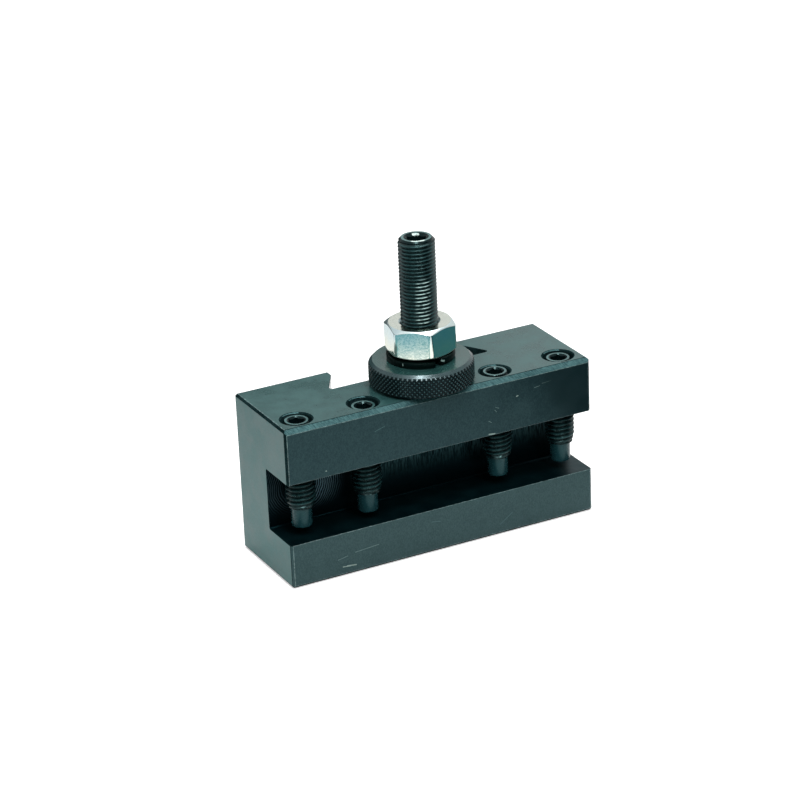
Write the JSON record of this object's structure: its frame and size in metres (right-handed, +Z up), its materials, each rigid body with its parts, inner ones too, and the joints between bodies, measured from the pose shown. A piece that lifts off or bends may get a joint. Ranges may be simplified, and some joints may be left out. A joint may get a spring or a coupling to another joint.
{
  "type": "lathe tool holder",
  "caption": "Quick-change lathe tool holder: steel block with a side slot, clamp screws for a square shank, a dovetail back, and a stud with knurled height nut, washer and lock nut.",
  "frame": {"origin": "middle of the block's underside: half its length, half its depth, on the base plane", "axes": "+X along the tool slot, +Y towards the dovetail side, +Z up along the screws and the height stud"},
  "size_m": [0.09, 0.0337, 0.085],
  "materials": {
    "blackened_block": "ground and milled steel, black oxide, oiled",
    "blackened_screw": "alloy steel screw, black oxide",
    "blackened_nut": "turned and diamond-knurled steel, black oxide",
    "spring_washer": "spring steel, black oxide",
    "bright_zinc": "bright zinc plating"
  },
  "bodies": {
    "holder": {"holder_body": "blackened_block", "height_stud": "blackened_screw"},
    "screw_1": {"clamp_screw_1": "blackened_screw"},
    "screw_2": {"clamp_screw_2": "blackened_screw"},
    "screw_3": {"clamp_screw_3": "blackened_screw"},
    "screw_4": {"clamp_screw_4": "blackened_screw"},
    "washer": {"lock_washer": "spring_washer"},
    "knurled_nut": {"height_nut": "blackened_nut"},
    "hex_nut": {"lock_nut": "bright_zinc"}
  },
  "joints": [
    {"name": "screw_1_travel", "type": "slide", "parent": "holder", "child": "screw_1", "axis": [0, 0, 1], "range_m": [-0.0025, 0.0146]},
    {"name": "screw_2_travel", "type": "slide", "parent": "holder", "child": "screw_2", "axis": [0, 0, 1], "range_m": [-0.00205, 0.01505]},
    {"name": "screw_3_travel", "type": "slide", "parent": "holder", "child": "screw_3", "axis": [0, 0, 1], "range_m": [-0.0028, 0.0143]},
    {"name": "screw_4_travel", "type": "slide", "parent": "holder", "child": "screw_4", "axis": [0, 0, 1], "range_m": [-0.00235, 0.01475]},
    {"name": "height_travel", "type": "slide", "parent": "holder", "child": "washer", "axis": [0, 0, 1], "range_m": [-0.0008, 0.022]},
    {"name": "height_nut_turn", "type": "hinge", "parent": "washer", "child": "knurled_nut", "pos_m": [0, -0.0047, 0.0485], "axis": [0, 0, 1], "range_deg": [-288, 7920]},
    {"name": "lock_nut_turn", "type": "hinge", "parent": "washer", "child": "hex_nut", "pos_m": [0, -0.0047, 0.0578], "axis": [0, 0, 1], "range_deg": [-288, 7920]}
  ],
  "couplings": [
    {"joint": "height_travel", "follows": "height_nut_turn", "m_per_rad": 0.00015915},
    {"joint": "lock_nut_turn", "follows": "height_nut_turn", "ratio": 1}
  ]
}
